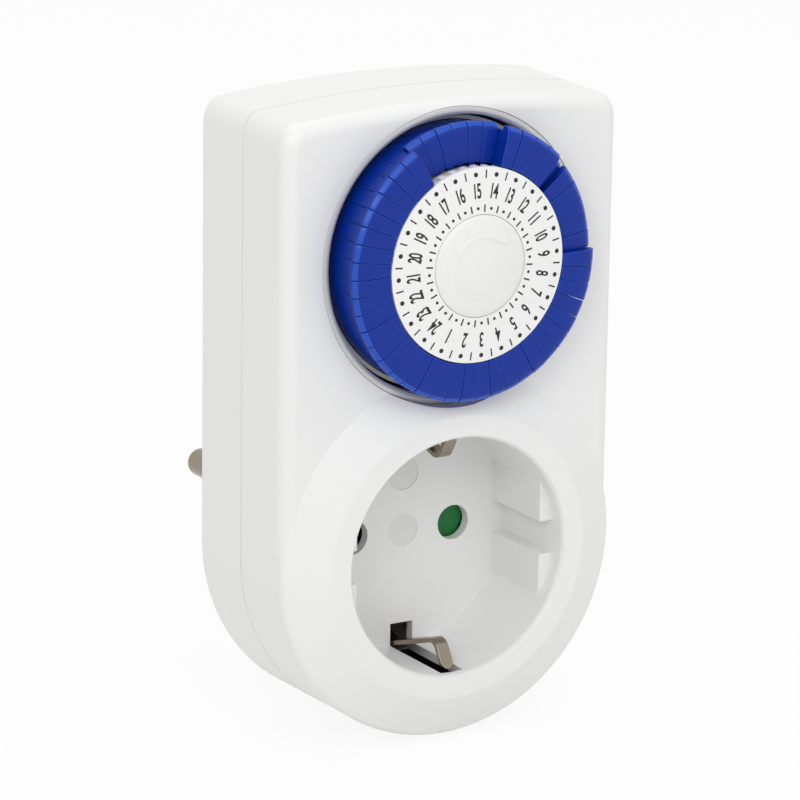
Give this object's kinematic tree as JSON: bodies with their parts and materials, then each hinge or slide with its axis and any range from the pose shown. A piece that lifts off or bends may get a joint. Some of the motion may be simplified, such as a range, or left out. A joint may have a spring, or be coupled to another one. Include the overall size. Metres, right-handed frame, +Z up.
{
  "type": "plug-in timer switch",
  "caption": "Plug-in mechanical timer socket: white housing with an earthed outlet, a turning dial ringed by blue push-in segments, and an earthed plug with pins behind.",
  "frame": {"origin": "on the plug axis, midway between the two pins, on the end face of the plug boss where the pins leave it", "axes": "+Y along the pins into the wall outlet, +Z up towards the dial, +X to the right as the user faces the dial"},
  "size_m": [0.0616, 0.076, 0.1045],
  "materials": {
    "white_abs": "moulded white ABS, satin gloss",
    "silver_ring": "silver-coloured moulded ring",
    "blue_tab": "moulded blue plastic, smooth",
    "dial_white": "printed white plastic, satin",
    "shutter_green": "moulded green plastic",
    "nickel": "nickel-plated brass, polished",
    "zinc_steel": "zinc-plated steel",
    "brass": "bare brass",
    "gear_natural": "natural acetal",
    "bobbin_black": "black polyamide",
    "copper": "enamelled copper wire",
    "magnet": "sintered ferrite",
    "spring_steel": "spring steel"
  },
  "bodies": {
    "housing": {"front_shell": "white_abs", "back_shell": "white_abs", "plug_boss": "white_abs", "trim_ring": "silver_ring", "plug_pins": "nickel", "earth_bow": "nickel", "plug_earth_clips": "nickel", "shutter_cover": "bobbin_black", "shutter_spring": "spring_steel", "dial_axle": "zinc_steel", "transfer_arbor": "zinc_steel", "chassis_plate": "zinc_steel", "motor_can": "zinc_steel", "pole_plate": "zinc_steel", "motor_gearbox": "gear_natural", "coil_bobbin": "bobbin_black", "coil_winding": "copper", "fixed_contact": "brass", "live_in_bar": "brass", "live_out_bar": "brass", "neutral_contact": "brass", "housing_screws": "zinc_steel", "chassis_screws": "zinc_steel"},
    "dial": {"dial_carrier": "white_abs", "dial_face": "dial_white", "centre_cap": "white_abs", "dial_gear": "gear_natural"},
    "setting_pinion": {"setting_pinion": "gear_natural"},
    "transfer_wheel": {"transfer_wheel": "gear_natural", "clutch_spring": "spring_steel"},
    "motor_pinion": {"motor_pinion": "gear_natural"},
    "rotor": {"rotor": "magnet"},
    "switch_plunger": {"switch_plunger": "gear_natural"},
    "moving_contact": {"moving_contact": "brass"},
    "shutter": {"shutter": "shutter_green"},
    "tabs_00": {"tabs_00": "blue_tab"},
    "tabs_02": {"tabs_02": "blue_tab"},
    "tabs_04": {"tabs_04": "blue_tab"},
    "tabs_06": {"tabs_06": "blue_tab"},
    "tabs_08": {"tabs_08": "blue_tab"},
    "tabs_10": {"tabs_10": "blue_tab"},
    "tabs_11": {"tabs_11": "blue_tab"},
    "tabs_12": {"tabs_12": "blue_tab"},
    "tabs_14": {"tabs_14": "blue_tab"},
    "tabs_16": {"tabs_16": "blue_tab"},
    "tabs_18": {"tabs_18": "blue_tab"},
    "tabs_20": {"tabs_20": "blue_tab"},
    "tabs_22": {"tabs_22": "blue_tab"},
    "tabs_24": {"tabs_24": "blue_tab"},
    "tabs_26": {"tabs_26": "blue_tab"},
    "tabs_28": {"tabs_28": "blue_tab"},
    "tabs_30": {"tabs_30": "blue_tab"},
    "tabs_32": {"tabs_32": "blue_tab"},
    "tabs_34": {"tabs_34": "blue_tab"},
    "tabs_36": {"tabs_36": "blue_tab"},
    "tabs_38": {"tabs_38": "blue_tab"},
    "tabs_40": {"tabs_40": "blue_tab"},
    "tabs_42": {"tabs_42": "blue_tab"},
    "tabs_44": {"tabs_44": "blue_tab"},
    "tabs_46": {"tabs_46": "blue_tab"}
  },
  "joints": [
    {"name": "dial_turn", "type": "hinge", "parent": "housing", "child": "dial", "pos_m": [0, -0.0478, 0.0484], "axis": [0, 1, 0], "continuous": true},
    {"name": "setting_pinion_turn", "type": "hinge", "parent": "housing", "child": "setting_pinion", "pos_m": [-0.01216, -0.0365, 0.06056], "axis": [0, 1, 0], "continuous": true},
    {"name": "transfer_wheel_turn", "type": "hinge", "parent": "housing", "child": "transfer_wheel", "pos_m": [-0.01216, -0.0348, 0.06056], "axis": [0, 1, 0], "continuous": true},
    {"name": "motor_pinion_turn", "type": "hinge", "parent": "housing", "child": "motor_pinion", "pos_m": [-0.00901, -0.0348, 0.05107], "axis": [0, 1, 0], "continuous": true},
    {"name": "rotor_turn", "type": "hinge", "parent": "housing", "child": "rotor", "pos_m": [-0.008, -0.028, 0.045], "axis": [0, 1, 0], "continuous": true},
    {"name": "switch_plunger_slide", "type": "slide", "parent": "housing", "child": "switch_plunger", "axis": [0, 1, 0], "range_m": [-0.0016, 0]},
    {"name": "moving_contact_flex", "type": "hinge", "parent": "housing", "child": "moving_contact", "pos_m": [0.006, -0.0298, 0.0246], "axis": [1, 0, 0], "range_deg": [0, 9]},
    {"name": "shutter_slide", "type": "slide", "parent": "housing", "child": "shutter", "axis": [-1, 0, 0], "range_m": [0, 0.0059], "stiffness_N_per_m": 60, "springref_m": -0.001, "deforming": ["shutter_spring"]},
    {"name": "tabs_00_slide", "type": "slide", "parent": "dial", "child": "tabs_00", "axis": [0, 1, 0], "range_m": [-0.0029, 0]},
    {"name": "tabs_02_slide", "type": "slide", "parent": "dial", "child": "tabs_02", "axis": [0, 1, 0], "range_m": [-0.0029, 0]},
    {"name": "tabs_04_slide", "type": "slide", "parent": "dial", "child": "tabs_04", "axis": [0, 1, 0], "range_m": [-0.0029, 0]},
    {"name": "tabs_06_slide", "type": "slide", "parent": "dial", "child": "tabs_06", "axis": [0, 1, 0], "range_m": [0, 0.0029]},
    {"name": "tabs_08_slide", "type": "slide", "parent": "dial", "child": "tabs_08", "axis": [0, 1, 0], "range_m": [0, 0.0029]},
    {"name": "tabs_10_slide", "type": "slide", "parent": "dial", "child": "tabs_10", "axis": [0, 1, 0], "range_m": [-0.0029, 0]},
    {"name": "tabs_11_slide", "type": "slide", "parent": "dial", "child": "tabs_11", "axis": [0, 1, 0], "range_m": [-0.0014, 0.0015]},
    {"name": "tabs_12_slide", "type": "slide", "parent": "dial", "child": "tabs_12", "axis": [0, 1, 0], "range_m": [-0.0014, 0.0015]},
    {"name": "tabs_14_slide", "type": "slide", "parent": "dial", "child": "tabs_14", "axis": [0, 1, 0], "range_m": [-0.0014, 0.0015]},
    {"name": "tabs_16_slide", "type": "slide", "parent": "dial", "child": "tabs_16", "axis": [0, 1, 0], "range_m": [0, 0.0029]},
    {"name": "tabs_18_slide", "type": "slide", "parent": "dial", "child": "tabs_18", "axis": [0, 1, 0], "range_m": [0, 0.0029]},
    {"name": "tabs_20_slide", "type": "slide", "parent": "dial", "child": "tabs_20", "axis": [0, 1, 0], "range_m": [0, 0.0029]},
    {"name": "tabs_22_slide", "type": "slide", "parent": "dial", "child": "tabs_22", "axis": [0, 1, 0], "range_m": [0, 0.0029]},
    {"name": "tabs_24_slide", "type": "slide", "parent": "dial", "child": "tabs_24", "axis": [0, 1, 0], "range_m": [0, 0.0029]},
    {"name": "tabs_26_slide", "type": "slide", "parent": "dial", "child": "tabs_26", "axis": [0, 1, 0], "range_m": [0, 0.0029]},
    {"name": "tabs_28_slide", "type": "slide", "parent": "dial", "child": "tabs_28", "axis": [0, 1, 0], "range_m": [0, 0.0029]},
    {"name": "tabs_30_slide", "type": "slide", "parent": "dial", "child": "tabs_30", "axis": [0, 1, 0], "range_m": [0, 0.0029]},
    {"name": "tabs_32_slide", "type": "slide", "parent": "dial", "child": "tabs_32", "axis": [0, 1, 0], "range_m": [0, 0.0029]},
    {"name": "tabs_34_slide", "type": "slide", "parent": "dial", "child": "tabs_34", "axis": [0, 1, 0], "range_m": [0, 0.0029]},
    {"name": "tabs_36_slide", "type": "slide", "parent": "dial", "child": "tabs_36", "axis": [0, 1, 0], "range_m": [0, 0.0029]},
    {"name": "tabs_38_slide", "type": "slide", "parent": "dial", "child": "tabs_38", "axis": [0, 1, 0], "range_m": [0, 0.0029]},
    {"name": "tabs_40_slide", "type": "slide", "parent": "dial", "child": "tabs_40", "axis": [0, 1, 0], "range_m": [0, 0.0029]},
    {"name": "tabs_42_slide", "type": "slide", "parent": "dial", "child": "tabs_42", "axis": [0, 1, 0], "range_m": [0, 0.0029]},
    {"name": "tabs_44_slide", "type": "slide", "parent": "dial", "child": "tabs_44", "axis": [0, 1, 0], "range_m": [0, 0.0029]},
    {"name": "tabs_46_slide", "type": "slide", "parent": "dial", "child": "tabs_46", "axis": [0, 1, 0], "range_m": [0, 0.0029]}
  ],
  "couplings": [
    {"joint": "setting_pinion_turn", "follows": "dial_turn", "ratio": -7.6},
    {"joint": "transfer_wheel_turn", "follows": "dial_turn", "ratio": -7.6},
    {"joint": "motor_pinion_turn", "follows": "dial_turn", "ratio": 30.4},
    {"joint": "moving_contact_flex", "follows": "switch_plunger_slide", "rad_per_m": -93.75}
  ]
}
